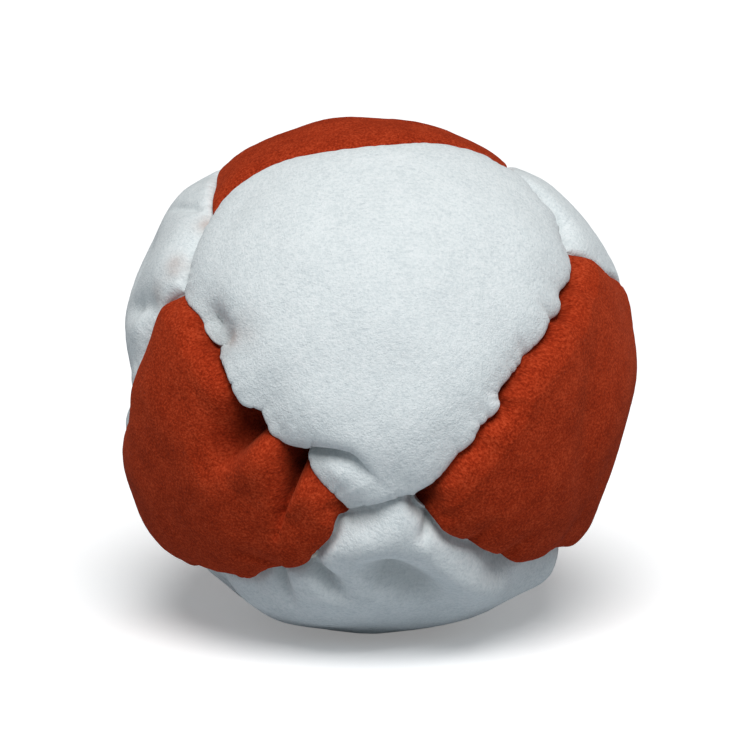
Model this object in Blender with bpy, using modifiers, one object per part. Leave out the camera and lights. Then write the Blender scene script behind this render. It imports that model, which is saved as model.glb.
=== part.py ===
"""Suede footbag: eight leather panels, sewn inside out into a ball and filled with plastic pellets.

Four white panels are hexagons with three long and three short sides, and four red panels are triangles between
them. The edge of every panel turns into the ball as a seam allowance. Neighbours meet there face to face, and a
running stitch goes through needle holes in both. The ball stands on a small flat under the white base panel.
The panels' outlines and the swellings of the ball are uneven, as they are on a bag that has been filled by hand.

Directions on the ball are longitude and latitude in degrees, seen from the ball's centre: longitude 0 is the
front, towards -Y, longitude 90 is the right, towards +X, and latitude 90 is straight up.
"""

import dataclasses
import functools
import itertools
import math

import bmesh
import bpy
import numpy as np

MM = 0.001

# The ball
BALL_RADIUS = 26.0 * MM  # over the crowns of the panels
REST_FLAT_DEPTH = 0.5 * MM  # how far the base panel is pressed flat where the ball stands

# The leather and its turned seams
LEATHER_THICKNESS = 1.2 * MM
PANEL_GAP = 0.3 * MM  # between the two allowances of a seam
SEAM_DEPTH = 1.7 * MM  # from the crowns down to the bottom of the seam groove
SHOULDER_WIDTH = 3.0 * MM  # from the seam to where a panel reaches its full height
ROLL_WIDTH = 0.9 * MM  # from the seam to the steep part of the roll
ROLL_DEPTH = 0.55 * MM  # how far the steep part starts below the crown
ALLOWANCE_DEPTH = 3.0 * MM  # from the bottom of the groove in to the raw edge

# The running stitch in each seam
STITCH_PITCH = 3.6 * MM
CORNER_TO_STITCH = 4.3 * MM  # from a junction of three panels to the first needle hole
SHORT_SEAM_TO_STITCH = 1.8 * MM  # the same on the short seams between two white panels
NEEDLE_HOLE_WIDTH = 1.0 * MM
NEEDLE_HOLE_HEIGHT = 1.2 * MM
THREAD_DIAMETER = 0.5 * MM
THREAD_CLEARANCE = 0.3 * MM  # between the thread and the inside of an allowance
THREAD_TAIL = 0.8 * MM  # free end past the last hole
THREAD_SIDES_LEVEL = 0  # bevel resolution, which gives a thread four sides
THREAD_HEIGHT_SHARE = 0.65  # where the thread runs in the height of a needle hole

# The filling
FILLING_CLEARANCE = 0.4 * MM  # between the filling and the leather or thread round it
PELLET_RELIEF = 0.45 * MM  # how far the pellets of the outer layer stand out of it
FILLING_EDGE_DEPTH = 0.5 * MM  # extra room where a mound of filling meets the roll of a seam
WELD_DISTANCE = 0.02 * MM  # joins the filling's patches, whose edges are the same points

# The ball's centre stands this far over the middle of its flat
CENTRE = np.array([0.0, 0.0, BALL_RADIUS - REST_FLAT_DEPTH])

# Rings of a panel between its middle and its shoulder, as shares of the way out
CROWN_RING_SHARES = (0.42, 0.76)

# Linear colours
WHITE_SUEDE_COLOUR = (0.80, 0.84, 0.84)
RED_SUEDE_COLOUR = (0.38, 0.045, 0.014)
THREAD_COLOUR = (0.72, 0.70, 0.64)
PELLET_COLOUR = (0.62, 0.66, 0.70)

# Points sampled along a seam's curve between two of the points that it goes through
SEAM_SAMPLES = 60

WHITE_PANELS = ("white_front", "white_right", "white_left", "white_base")
RED_PANELS = ("red_top", "red_right", "red_left", "red_back")
BASE_PANEL = "white_base"

# Where three panels meet: two white ones and a red one. (longitude, latitude)
JUNCTIONS = {
    ("white_front", "white_left", "red_top"): (-59, 44),
    ("white_front", "white_left", "red_left"): (-52, 25),
    ("white_front", "white_right", "red_top"): (73, 58),
    ("white_front", "white_right", "red_right"): (64, 35),
    ("white_front", "white_base", "red_left"): (-5, -17),
    ("white_front", "white_base", "red_right"): (8, -13),
    ("white_right", "white_base", "red_right"): (115, -32),
    ("white_right", "white_base", "red_back"): (136, -36),
    ("white_right", "white_left", "red_top"): (-179, 23),
    ("white_right", "white_left", "red_back"): (-179, 5),
    ("white_left", "white_base", "red_left"): (-100, -45),
    ("white_left", "white_base", "red_back"): (-125, -48),
}

# Points that a seam goes through between its two junctions, in order from the junction named first
SEAM_BENDS = {
    ("white_front", "red_top"): ((-54, 57), (-10, 70), (45, 70)),
    ("white_front", "red_right"): ((47, 23), (29, 10), (20, -2)),
    ("white_front", "red_left"): ((-36, 15), (-24, 4), (-14, -6)),
    ("white_left", "red_left"): ((-60, 15), (-66, 0), (-86, -22)),
    ("white_left", "red_top"): ((-74, 49), (-115, 52)),
    ("white_left", "red_back"): ((-150, -19),),
    ("white_base", "red_left"): ((-12, -25), (-28, -35), (-57, -41), (-80, -46)),
    ("white_base", "red_right"): ((13, -21), (31, -30), (63, -36), (93, -38)),
    ("white_base", "red_back"): ((-170, -57),),
    ("white_right", "red_right"): ((80, 26), (106, 3)),
    ("white_right", "red_back"): ((152, -12),),
    ("white_right", "red_top"): ((118, 54),),
}

# Swellings and hollows of the filled bag: longitude, latitude, spread in degrees, height as a share of the radius
SWELLING_SHARES = {
    "belly_of_the_left_panel": (-83, -31, 15, 0.050),
    "hollow_over_the_belly": (-90, 0, 10, -0.050),
    "shoulder_at_the_top_left": (-98, 41, 10, 0.026),
    "lobe_at_the_lower_right": (80, -48, 8, 0.022),
    "hollow_at_the_right": (88, -17, 8, -0.022),
    "swelling_at_the_upper_right": (86, 15, 25, 0.016),
}


def direction(longitude, latitude):
    """Unit vector from the ball's centre."""
    lon = math.radians(longitude)
    lat = math.radians(latitude)
    return np.array([math.sin(lon) * math.cos(lat), -math.cos(lon) * math.cos(lat), math.sin(lat)])


def unit(vectors):
    """The vectors at length 1, one to a row."""
    return vectors / np.linalg.norm(vectors, axis=-1, keepdims=True)


def crown_radius(directions):
    """Distance from the ball's centre to the leather's crown: the ball's radius, times one plus a bell curve over
    the angle to each swelling."""
    share = np.ones(directions.shape[:-1])
    for longitude, latitude, spread, height in SWELLING_SHARES.values():
        turn = np.degrees(np.arccos(np.clip(directions @ direction(longitude, latitude), -1, 1)))
        share = share + height * np.exp(-0.5 * (turn / spread) ** 2)
    return BALL_RADIUS * share


def laid(ways, depth):
    """Points along those directions, that far below the crown, or below the flat where the ball is pressed flat."""
    points = ways * (crown_radius(ways) - depth)[:, None]
    points[:, 2] = np.maximum(points[:, 2], REST_FLAT_DEPTH + depth - BALL_RADIUS)
    return points


@dataclasses.dataclass
class Place:
    """A place on a panel's edge."""

    here: np.ndarray  # direction from the ball's centre
    inward: np.ndarray  # way into the panel, at 1 away from each seam that it belongs to
    sides: list  # way into the panel square to each of those seams

    def at(self, inset, depth):
        """The point straight below the seam line: that far in towards the panel, and that far below the crown."""
        return self.here * (crown_radius(self.here) - depth) + self.inward * inset


class Seam:
    """The line where two panels meet, and how far along it each needle hole is."""

    def __init__(self, first, second):
        self.panels = (first, second)
        self.ends = [corner for corner in JUNCTIONS if first in corner and second in corner]
        start, end = (JUNCTIONS[corner] for corner in self.ends)
        through = [start, *SEAM_BENDS.get(self.panels, ()), end]
        self.curve = smooth_curve(np.array([direction(*point) for point in through]))
        steps = np.linalg.norm(np.diff(self.curve, axis=0), axis=1)
        self.travel = np.concatenate([[0.0], np.cumsum(steps)]) * BALL_RADIUS
        start = SHORT_SEAM_TO_STITCH if set(self.panels) <= set(WHITE_PANELS) else CORNER_TO_STITCH
        stitched = self.travel[-1] - 2 * start
        stitches = max(1, round(stitched / STITCH_PITCH))
        self.holes = start + stitched * np.arange(stitches + 1) / stitches

    def at(self, travel):
        """Directions from the centre, and directions along the seam, at distances along it."""
        travel = np.atleast_1d(travel)
        here = unit(np.stack([np.interp(travel, self.travel, self.curve[:, i]) for i in range(3)], axis=1))
        index = np.clip(np.searchsorted(self.travel, travel), 2, len(self.travel) - 3)
        along = self.curve[index + 2] - self.curve[index - 2]
        along = along - here * np.sum(along * here, axis=1, keepdims=True)
        return here, unit(along)


def smooth_curve(through):
    """A Catmull-Rom curve through the points, put back on the unit sphere. Its ends run straight on."""
    padded = np.concatenate([[2 * through[0] - through[1]], through, [2 * through[-1] - through[-2]]])
    share = np.linspace(0.0, 1.0, SEAM_SAMPLES, endpoint=False)[:, None]
    pieces = []
    for before, start, end, after in zip(padded, padded[1:], padded[2:], padded[3:]):
        straight = 2 * start + (end - before) * share
        square = (2 * before - 5 * start + 4 * end - after) * share**2
        cube = (3 * start - before - 3 * end + after) * share**3
        pieces.append((straight + square + cube) / 2)
    pieces.append(through[-1:])
    return unit(np.concatenate(pieces))


@functools.cache
def seam_between(first, second):
    """The seam of two neighbours. Both of them use the same one, so their holes line up."""
    return Seam(first, second)


def neighbours():
    """Each pair of panels that share a seam, in a fixed order."""
    pairs = []
    for pair in itertools.combinations(WHITE_PANELS + RED_PANELS, 2):
        if sum(pair[0] in corner and pair[1] in corner for corner in JUNCTIONS) == 2:
            pairs.append(pair)
    return pairs


class Outline:
    """A panel's edge, once round and anticlockwise from outside.

    Its stops are its corners and its needle holes. middles has one place for each stop. edges has one place for
    each corner and two for each hole, one on either side of it, and spans has the first and last of those.
    """

    def __init__(self, panel):
        self.panel = panel
        corners = [corner for corner in JUNCTIONS if panel in corner]
        ways = np.array([direction(*JUNCTIONS[corner]) for corner in corners])
        self.middle = direction(0, -90) if panel == BASE_PANEL else unit(ways.sum(axis=0))
        across = unit(np.cross(self.middle, ways[0]))
        up = np.cross(across, self.middle)
        order = np.argsort(np.arctan2(ways @ across, ways @ up))
        corners = [corners[i] for i in order]
        self.sides = list(map(self.side_between, corners, corners[1:] + corners[:1]))
        self.middles = []
        self.edges = []
        self.spans = []
        for previous, side in zip(self.sides[-1:] + self.sides[:-1], self.sides):
            self.add_stop([self.corner(previous, side)])
            for hole in side.holes:
                self.add_stop([side.place(hole - NEEDLE_HOLE_WIDTH / 2), side.place(hole + NEEDLE_HOLE_WIDTH / 2)])
                self.middles[-1] = side.place(hole)

    def side_between(self, corner, following):
        """The panel's side from one corner to the next."""
        (other,) = set(corner) & set(following) - {self.panel}
        seam = seam_between(*sorted((self.panel, other), key=(WHITE_PANELS + RED_PANELS).index))
        return Side(seam, forwards=seam.ends[0] == corner)

    def corner(self, arriving, leaving):
        """The place where one side ends and the next starts."""
        last = arriving.place(arriving.length)
        first = leaving.place(0.0)
        mitre = (last.inward + first.inward) / (1 + last.inward @ first.inward)
        return Place(first.here, mitre, [last.inward, first.inward])

    def add_stop(self, places):
        """Adds a corner, as one place, or a hole, as two."""
        self.middles.append(places[0])
        self.spans.append((len(self.edges), len(self.edges) + len(places) - 1))
        self.edges += places


class Side:
    """A seam as one of its two panels has it: anticlockwise round that panel."""

    def __init__(self, seam, forwards):
        self.seam = seam
        self.forwards = forwards
        self.length = seam.travel[-1]
        self.holes = seam.holes if forwards else self.length - seam.holes[::-1]

    def place(self, travel):
        """The place that far along the side."""
        here, along = self.seam.at(travel if self.forwards else self.length - travel)
        inward = np.cross(here[0], along[0] if self.forwards else -along[0])
        return Place(here[0], inward, [inward])


@functools.cache
def outline_of(panel):
    """The outline that a panel and the filling under it share."""
    return Outline(panel)


def allowance_ring(places, inset, depth):
    """Points straight below the seam line, all round a panel."""
    return np.array([place.at(inset, depth) for place in places])


def shoulder_ways(outline, inset):
    """Directions from the centre to points that far in from the seams, on the way to the panel's middle."""
    ways = []
    for place in outline.middles:
        to_middle = unit(outline.middle - place.here * (place.here @ outline.middle))
        reach = inset / min(side @ to_middle for side in place.sides)
        ways.append(place.here * crown_radius(place.here) + to_middle * reach)
    return unit(np.array(ways))


def crown_rings(outline, depth):
    """The middle of a panel and the rings round it up to its shoulder, that far below the crown."""
    shoulder = shoulder_ways(outline, SHOULDER_WIDTH)
    turn = np.arccos(np.clip(shoulder @ outline.middle, -1, 1))
    sideways = unit(shoulder - outline.middle * (shoulder @ outline.middle)[:, None])
    flat = math.acos(1 - REST_FLAT_DEPTH / BALL_RADIUS) if outline.panel == BASE_PANEL else 0.0
    reaches = [flat + (turn - flat) * share for share in CROWN_RING_SHARES]
    if flat:
        reaches.insert(0, np.full_like(turn, flat))
    rings = [laid(outline.middle[None], depth)]
    for reach in reaches:
        ways = outline.middle * np.cos(reach)[:, None] + sideways * np.sin(reach)[:, None]
        rings.append(laid(ways, depth))
    return rings


def ring_faces(inner, outer):
    """Faces between two rings of as many points, given by their indices. An inner ring of one point is a fan."""
    if len(inner) == 1:
        return [(inner[0], outer[i - 1], outer[i]) for i in range(len(outer))]
    return [(inner[i - 1], outer[i - 1], outer[i], inner[i]) for i in range(len(inner))]


def widening_faces(inner, outer, spans):
    """Faces from a ring with one point at each stop out to a ring with two at each hole."""
    faces = []
    for i, (first, last) in enumerate(spans):
        faces.append((inner[i - 1], outer[spans[i - 1][1]], outer[first], inner[i]))
        if last > first:
            faces.append((inner[i], outer[first], outer[last]))
    return faces


def narrowing_faces(inner, outer, spans):
    """Faces from a ring with two points at each hole out to a ring with one at each stop."""
    faces = []
    for i, (first, last) in enumerate(spans):
        faces.append((inner[spans[i - 1][1]], outer[i - 1], outer[i], inner[first]))
        if last > first:
            faces.append((inner[first], outer[i], inner[last]))
    return faces


def numbered(rings):
    """All the points in one array, and the indices of each ring's points in it."""
    ends = np.cumsum([len(ring) for ring in rings])
    return np.concatenate(rings), [list(range(end - len(ring), end)) for end, ring in zip(ends, rings)]


def panel_surface(panel):
    """Points and faces of a panel's outside: its crown, the roll into the seam, and the seam allowance with its
    needle holes left out."""
    outline = outline_of(panel)
    inset = PANEL_GAP / 2
    crown = crown_rings(outline, 0.0)
    crown.append(laid(shoulder_ways(outline, SHOULDER_WIDTH), 0.0))
    crown.append(allowance_ring(outline.middles, ROLL_WIDTH, ROLL_DEPTH))
    groove = allowance_ring(outline.edges, inset, SEAM_DEPTH)
    below_holes = allowance_ring(outline.edges, inset, SEAM_DEPTH + NEEDLE_HOLE_HEIGHT)
    raw_edge = allowance_ring(outline.middles, inset, SEAM_DEPTH + ALLOWANCE_DEPTH)
    points, rings = numbered(crown + [groove, below_holes, raw_edge])
    *crown, groove, below_holes, raw_edge = rings
    faces = []
    for inner, outer in zip(crown, crown[1:]):
        faces += ring_faces(inner, outer)
    faces += widening_faces(crown[-1], groove, outline.spans)
    holes = {last for first, last in outline.spans if last > first}
    faces += [face for i, face in enumerate(ring_faces(groove, below_holes)) if i not in holes]
    faces += narrowing_faces(below_holes, raw_edge, outline.spans)
    return points, faces


def object_from(name, points, faces, material):
    """A mesh object. Its faces are split alike on every object, so that the filling follows the leather."""
    mesh = bpy.data.meshes.new(name)
    mesh.from_pydata((points + CENTRE).tolist(), [], faces)
    mesh.materials.append(material)
    mesh.validate()
    made = bpy.data.objects.new(name, mesh)
    bag.objects.link(made)
    split = made.modifiers.new("split", "TRIANGULATE")
    split.quad_method = "FIXED"
    return made


def make_panel(panel, material):
    """A panel cut from a hide of one thickness. Its needle holes go right through."""
    points, faces = panel_surface(panel)
    made = object_from(panel + "_panel", points, faces, material)
    wall = made.modifiers.new("leather", "SOLIDIFY")
    wall.thickness = LEATHER_THICKNESS
    wall.offset = -1
    wall.use_even_offset = True
    wall.use_quality_normals = True
    made.data.shade_smooth()


def thread_path(seam):
    """The running stitch: through one hole, along the far side of the seam and back through the next."""
    aside = PANEL_GAP / 2 + LEATHER_THICKNESS + THREAD_CLEARANCE + THREAD_DIAMETER / 2
    depth = SEAM_DEPTH + NEEDLE_HOLE_HEIGHT * THREAD_HEIGHT_SHARE
    here, along = seam.at(seam.holes)
    inward = np.cross(here, along)
    centres = here * (crown_radius(here) - depth)[:, None]
    path = []
    for hole, (centre, way) in enumerate(zip(centres, inward)):
        near = aside if hole % 2 == 0 else -aside
        path += [centre + way * near, centre - way * near]
    start = path[0] + along[0] * THREAD_TAIL
    end = path[-1] - along[-1] * THREAD_TAIL
    return np.array([start, *path, end])


def make_thread(seam, material):
    """One length of thread, as a curve with a round section."""
    name = "thread_" + "_to_".join(seam.panels)
    curve = bpy.data.curves.new(name, "CURVE")
    curve.dimensions = "3D"
    curve.bevel_depth = THREAD_DIAMETER / 2
    curve.bevel_resolution = THREAD_SIDES_LEVEL
    curve.use_fill_caps = True
    path = thread_path(seam)
    spline = curve.splines.new("POLY")
    spline.points.add(len(path) - 1)
    for point, place in zip(spline.points, path + CENTRE):
        point.co = (*place, 1.0)
    curve.materials.append(material)
    bag.objects.link(bpy.data.objects.new(name, curve))


def filling_patch(panel):
    """The filling under one panel: a mound up to the leather, and the trough that the seam allowances lie in."""
    outline = outline_of(panel)
    depth = LEATHER_THICKNESS + FILLING_CLEARANCE
    trough_depth = SEAM_DEPTH + ALLOWANCE_DEPTH + FILLING_CLEARANCE
    trough_width = PANEL_GAP / 2 + LEATHER_THICKNESS + 2 * THREAD_CLEARANCE + THREAD_DIAMETER + FILLING_CLEARANCE
    mound = crown_rings(outline, depth)
    mound.append(laid(shoulder_ways(outline, max(SHOULDER_WIDTH, trough_width)), depth + FILLING_EDGE_DEPTH))
    for number, ring in enumerate(mound[1:]):
        hollows = ring[number % 2 :: 2]
        ring[number % 2 :: 2] = hollows - unit(hollows) * PELLET_RELIEF
    trough = [laid(shoulder_ways(outline, trough_width), trough_depth)]
    trough.append(allowance_ring(outline.middles, 0.0, trough_depth))
    points, rings = numbered(mound + trough)
    faces = []
    for inner, outer in zip(rings, rings[1:]):
        faces += ring_faces(inner, outer)
    return points, faces


def make_filling(material):
    """All the pellets as one body. The patches under the panels meet along the seams and are welded there."""
    points = []
    faces = []
    for panel in WHITE_PANELS + RED_PANELS:
        patch, patch_faces = filling_patch(panel)
        start = len(points)
        points += list(patch)
        faces += [tuple(start + index for index in face) for face in patch_faces]
    made = object_from("pellet_filling", np.array(points), faces, material)
    shape = bmesh.new()
    shape.from_mesh(made.data)
    bmesh.ops.remove_doubles(shape, verts=shape.verts, dist=WELD_DISTANCE)
    shape.to_mesh(made.data)
    shape.free()


def finish(name, colour, roughness):
    """A Principled material. The colour is linear."""
    material = bpy.data.materials.new(name)
    material.use_nodes = True
    shader = material.node_tree.nodes["Principled BSDF"]
    shader.inputs["Base Color"].default_value = (*colour, 1.0)
    shader.inputs["Roughness"].default_value = roughness
    shader.inputs["Metallic"].default_value = 0.0
    return material


for leftover in list(bpy.data.objects):
    bpy.data.objects.remove(leftover)
bag = bpy.data.collections.new("footbag")
bpy.context.scene.collection.children.link(bag)

white_suede = finish("white_suede", WHITE_SUEDE_COLOUR, 0.95)
red_suede = finish("red_suede", RED_SUEDE_COLOUR, 0.95)
sewing_thread = finish("sewing_thread", THREAD_COLOUR, 0.6)
plastic_pellets = finish("plastic_pellets", PELLET_COLOUR, 0.35)

for name in WHITE_PANELS:
    make_panel(name, white_suede)
for name in RED_PANELS:
    make_panel(name, red_suede)
for pair in neighbours():
    make_thread(seam_between(*pair), sewing_thread)
make_filling(plastic_pellets)
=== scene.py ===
"""Looks of a suede footbag: eight panels of leather, sewn inside out into a ball round plastic pellets.

The ball's form, its junctions and the hidden lines of its seams are those of the CAD part. On them comes
what a rigid solid leaves out: rolled edges, the folds and puckers of a slack hand-filled bag, and the
suede's nap.
"""

import itertools

import bpy
import numpy as np
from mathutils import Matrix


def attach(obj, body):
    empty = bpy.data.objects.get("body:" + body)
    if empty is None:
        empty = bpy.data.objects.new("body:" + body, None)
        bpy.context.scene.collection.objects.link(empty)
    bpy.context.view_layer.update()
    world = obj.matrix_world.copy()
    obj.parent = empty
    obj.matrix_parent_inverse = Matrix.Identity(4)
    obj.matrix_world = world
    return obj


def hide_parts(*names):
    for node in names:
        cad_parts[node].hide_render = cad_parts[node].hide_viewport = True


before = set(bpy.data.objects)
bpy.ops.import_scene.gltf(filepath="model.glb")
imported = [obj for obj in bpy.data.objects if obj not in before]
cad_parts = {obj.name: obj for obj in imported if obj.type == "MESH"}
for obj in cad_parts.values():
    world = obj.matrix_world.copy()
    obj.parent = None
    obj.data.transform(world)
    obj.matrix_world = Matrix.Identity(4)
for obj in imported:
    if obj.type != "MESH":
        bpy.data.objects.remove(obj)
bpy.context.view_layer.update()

# White front panel
# A six-sided panel of white split suede, 1.2 mm thick, sewn to its neighbours inside out and turned, so that
# its edges roll down into the seams. It is slack at its lower left, where it folds over itself.

MM = 0.001
BALL_RADIUS = 26.0 * MM
REST_FLAT_DEPTH = 0.5 * MM  # how far the ball's own weight presses it flat underneath
CENTRE = np.array([0.0, 0.0, BALL_RADIUS - REST_FLAT_DEPTH])
LEATHER_THICKNESS = 1.2 * MM
CONTACT_INSET = 0.03 * MM  # from the seam line to the fullest part of a rolled edge
ALLOWANCE_INSET = 0.15 * MM  # from the middle of a seam to each of its allowances
HOLE_TOP = 1.7 * MM  # depths of the needle holes and of the raw edge below the ball's form
HOLE_BOTTOM = 2.9 * MM
RAW_EDGE = 4.7 * MM
HOLE_PITCH = 3.6 * MM
HOLE_WIDTH = 1.0 * MM
CORNER_TO_HOLE = 4.3 * MM
SHORT_SEAM_TO_HOLE = 1.8 * MM

WHITE_PANELS = ("white_front", "white_right", "white_left", "white_base")
RED_PANELS = ("red_top", "red_right", "red_left", "red_back")
PANELS = WHITE_PANELS + RED_PANELS

# Longitude 0 is the front, towards -Y, longitude 90 the right, towards +X, and latitude 90 straight up.
JUNCTIONS = {
    ("white_front", "white_left", "red_top"): (-59, 44),
    ("white_front", "white_left", "red_left"): (-52, 25),
    ("white_front", "white_right", "red_top"): (73, 58),
    ("white_front", "white_right", "red_right"): (64, 35),
    ("white_front", "white_base", "red_left"): (-5, -17),
    ("white_front", "white_base", "red_right"): (8, -13),
    ("white_right", "white_base", "red_right"): (115, -32),
    ("white_right", "white_base", "red_back"): (136, -36),
    ("white_right", "white_left", "red_top"): (-179, 23),
    ("white_right", "white_left", "red_back"): (-179, 5),
    ("white_left", "white_base", "red_left"): (-100, -45),
    ("white_left", "white_base", "red_back"): (-125, -48),
}

# Where the allowances and the thread of each seam run, inside the ball
HIDDEN_BENDS = {
    ("white_front", "red_top"): ((-54, 57), (-10, 70), (45, 70)),
    ("white_front", "red_right"): ((47, 23), (29, 10), (20, -2)),
    ("white_front", "red_left"): ((-36, 15), (-24, 4), (-14, -6)),
    ("white_left", "red_left"): ((-60, 15), (-66, 0), (-86, -22)),
    ("white_left", "red_top"): ((-74, 49), (-115, 52)),
    ("white_left", "red_back"): ((-150, -19),),
    ("white_base", "red_left"): ((-12, -25), (-28, -35), (-57, -41), (-80, -46)),
    ("white_base", "red_right"): ((13, -21), (31, -30), (63, -36), (93, -38)),
    ("white_base", "red_back"): ((-170, -57),),
    ("white_right", "red_right"): ((80, 26), (106, 3)),
    ("white_right", "red_back"): ((152, -12),),
    ("white_right", "red_top"): ((118, 54),),
}

# Where the seams that show wander off those lines, pulled about by the filling
SEEN_BENDS = {
    ("white_front", "red_top"): (
        (-61, 51), (-56.5, 59), (-47, 65.5), (-28.5, 70), (-6, 72.5), (17.5, 73.5), (40.5, 73),
        (58.5, 70.5), (72, 64.5)),
    ("white_front", "white_right"): ((73.5, 53.5), (73, 48.5), (72.5, 42)),
    ("white_front", "red_right"): (
        (63, 32), (59, 29), (56, 28), (52.5, 26.5), (51, 23.5), (49, 22), (46, 21.5), (43.5, 19.5),
        (42, 18), (38.5, 16), (36, 14.5), (34, 12.5), (31.5, 10.5), (28, 7.5), (28, 5), (26.5, 3),
        (23, 0.5), (21.5, -2.5), (18, -5.5), (15, -9.5), (11.5, -12.5)),
    ("white_front", "red_left"): (
        (-51.5, 24.5), (-46.5, 22.5), (-44, 19.5), (-42, 18), (-39.5, 17), (-37.5, 17), (-38, 15),
        (-35.5, 12.5), (-33.5, 10.5), (-30.5, 5.5), (-28.5, 4.5), (-25.5, 4), (-24, 1), (-23, -1),
        (-19.5, -3), (-16.5, -3.5), (-14.5, -4), (-14.5, -7.5), (-11.5, -12), (-9, -14.5)),
    ("white_left", "red_left"): ((-61, 22), (-64, 12.5), (-69, 2.5), (-81.5, -8), (-96, -22)),
    ("white_left", "red_top"): ((-67.5, 46.5), (-77, 50), (-88, 52), (-115, 52)),
    ("white_base", "red_left"): (
        (-7, -20), (-9, -20.5), (-10.5, -24.5), (-12, -26.5), (-15.5, -30), (-18, -33), (-22, -35),
        (-29, -36.5), (-33.5, -38.5), (-39.5, -41.5), (-46, -41), (-51.5, -41), (-59.5, -41), (-80, -46)),
    ("white_base", "red_right"): (
        (9, -15.5), (10.5, -18), (13.5, -20.5), (18, -25), (24, -28), (29, -30.5), (34, -33),
        (42.5, -36.5), (53.5, -38), (62, -38.5), (68, -38), (93, -38)),
    ("white_right", "red_right"): ((70.8, 32.2), (75, 29.2), (81.5, 25.4), (88.5, 22), (106, 3)),
}

# The same for the junctions that the rolled edges bring out a little aside
SEEN_JUNCTIONS = {
    ("white_front", "white_left", "red_top"): (-62.5, 44.5),
    ("white_front", "white_left", "red_left"): (-55.5, 26.5),
    ("white_front", "white_right", "red_top"): (77, 58),
    ("white_front", "white_right", "red_right"): (67, 35),
    ("white_front", "white_base", "red_left"): (-5.5, -18.5),
    ("white_front", "white_base", "red_right"): (8.5, -14),
}

# How far, in mm, the first panel of a seam bulges over the second between two pulls of the stitching
SCALLOPS = {
    ("white_front", "red_top"): 0.03,
    ("white_front", "red_right"): 0.09,
    ("white_front", "red_left"): 0.08,
    ("white_base", "red_left"): 0.08,
    ("white_base", "red_right"): 0.08,
    ("white_left", "red_left"): 0.02,
}
SCALLOP = 0.08

# Rolled edges: height and width of the round, height and width of the slope down to it, all in mm, and the
# slope's power
ROLLS = {
    ("white_front", "red_right"): (1.10, 0.90, 1.05, 6.5, 2.2),
    ("red_right", "white_front"): (0.80, 0.55, 1.40, 3.0, 1.25),
    ("white_front", "red_left"): (0.70, 0.60, 1.40, 7.0, 2.2),
    ("red_left", "white_front"): (0.80, 0.55, 1.20, 3.0, 1.5),
    ("white_front", "red_top"): (0.60, 0.60, 0.25, 3.0, 2.0),
    ("red_top", "white_front"): (0.50, 0.60, 0.50, 3.0, 2.0),
    ("white_base", "white_front"): (0.45, 0.50, 1.50, 5.5, 1.8),
    ("white_front", "white_base"): (1.00, 1.00, 0.20, 2.4, 2.0),
    ("red_left", "white_base"): (1.20, 0.95, 0.45, 3.0, 2.0),
    ("white_base", "red_left"): (0.40, 0.45, 1.45, 5.5, 1.7),
    ("red_right", "white_base"): (1.20, 0.95, 0.45, 3.0, 2.0),
    ("white_base", "red_right"): (0.40, 0.45, 1.65, 7.0, 1.8),
    ("red_right", "white_right"): (0.50, 0.55, 0.45, 3.0, 2.0),
    ("white_right", "red_right"): (0.70, 0.70, 0.60, 4.0, 2.0),
}
ROLL = (0.85, 0.80, 0.65, 4.0, 2.0)

# How far, in mm, the round of an edge hangs over the neighbour's
OVERHANGS = {
    ("white_front", "red_right"): 0.40,
    ("white_front", "red_left"): 0.50,
    ("white_front", "white_base"): 0.25,
    ("red_left", "white_base"): 0.35,
    ("red_right", "white_base"): 0.35,
}

# Swellings and hollows of the whole bag: longitude, latitude, spread in degrees, height as a share of radius
CAD_SWELLINGS = (
    (-83, -31, 15, 0.050),
    (-90, 0, 10, -0.050),
    (-98, 41, 10, 0.026),
    (80, -48, 8, 0.022),
    (88, -17, 8, -0.022),
    (86, 15, 25, 0.016),
)
FINE_SWELLINGS = (
    (104, 59, 9, -0.022),
    (117, 75, 9, -0.014),
    (-98, 49, 3, -0.008),
    (-91, 27, 5, -0.050),
    (-86, -1, 4, -0.091),
    (-80, -24, 5, -0.007),
    (-76, -2, 4, -0.030),
    (-96, -2, 4, -0.060),
    (-68, -50, 5, -0.078),
    (-52, -64, 5, 0.014),
    (15, -71, 12, -0.024),
    (71, -46, 4, 0.022),
    (77, -33, 3.5, 0.011),
    (82, -15, 8.5, -0.028),
    (87, -3, 4, -0.006),
    (90, 20, 4, 0.014),
)

# Where a fold pulls a whole seam in, with its allowances and stitches
SEAM_DIPS = (
    (-23.5, 3, 4.5, -0.170),
    (-14, -7.5, 5, -0.200),
    (11, -17, 4.5, -0.125),
    (-8, -17.5, 3.5, -0.040),
)

CURVE_STEPS = 60  # on a curve between two of its points


def way(longitude, latitude):
    """Unit vectors from the ball's centre at those longitudes and latitudes."""
    longitude, latitude = np.radians(longitude), np.radians(latitude)
    level = np.cos(latitude)
    return np.stack([np.sin(longitude) * level, -np.cos(longitude) * level, np.sin(latitude)], axis=-1)


def ways_through(points):
    """The same for a list of (longitude, latitude)."""
    return way(*np.array(points, float).T)


def unit(vectors):
    """The vectors at length 1."""
    return vectors / np.linalg.norm(vectors, axis=-1, keepdims=True)


def dot(first, second):
    """Dot products of two arrays of vectors."""
    return np.sum(first * second, axis=-1)


def form_radius(ways, swellings):
    """Distance from the centre to the bag's form: the radius times one plus a bell curve over each
    swelling."""
    share = np.ones(ways.shape[:-1])
    for longitude, latitude, spread, height in swellings:
        turn = np.degrees(np.arccos(np.clip(ways @ way(longitude, latitude), -1, 1)))
        share = share + height * np.exp(-0.5 * (turn / spread) ** 2)
    return BALL_RADIUS * share


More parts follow.
